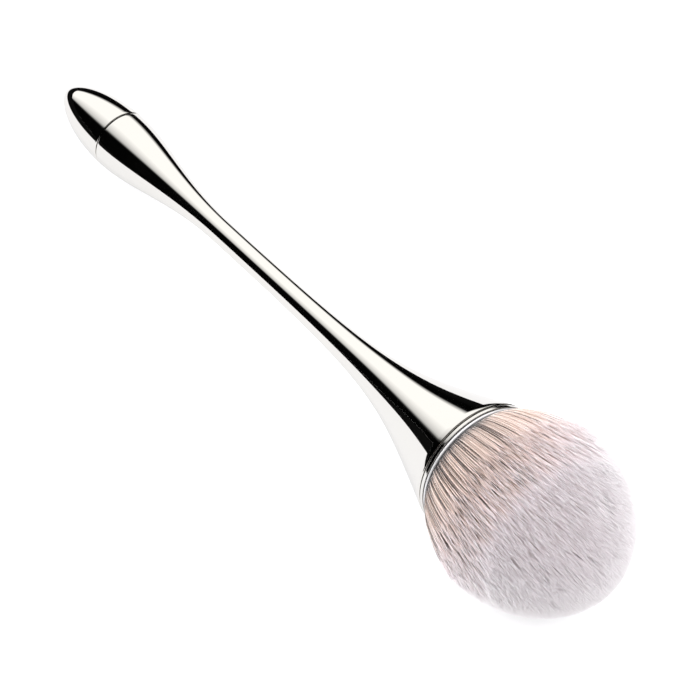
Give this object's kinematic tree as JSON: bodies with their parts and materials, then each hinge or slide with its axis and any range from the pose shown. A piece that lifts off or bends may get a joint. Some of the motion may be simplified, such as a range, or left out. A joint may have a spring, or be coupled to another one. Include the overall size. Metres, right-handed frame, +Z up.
{
  "type": "nail dust brush",
  "caption": "Soft domed nail dust brush: slim-waist trumpet handle in bright plate with a bullet tail cap, trim ring, ferrule cup and flared bristle head.",
  "frame": {"origin": "on the table under the middle of the brush, at the bottom centre of its bounding box", "axes": "the brush lies on a table: +X runs along it from tail cap to bristle tips, +Y across it, +Z up from the table; its own axis rises about 5.7 degrees towards the head because knob and head both touch the table"},
  "size_m": [0.1996, 0.0462, 0.0455],
  "materials": {
    "bright_plate": "mirror-bright plating on moulded plastic",
    "cup_aluminium": "polished drawn aluminium",
    "set_resin": "set resin, hidden in the cup",
    "bristle_fibre": "fine soft synthetic hair, beige-pink at the root and pale grey-lavender at the tips"
  },
  "bodies": {
    "root": {"tail_cap": "bright_plate", "handle_body": "bright_plate", "trim_ring": "bright_plate", "ferrule_cup": "cup_aluminium", "root_plug": "set_resin", "tuft_upper": "bristle_fibre", "tuft_right": "bristle_fibre", "tuft_lower": "bristle_fibre", "tuft_left": "bristle_fibre"}
  },
  "joints": []
}
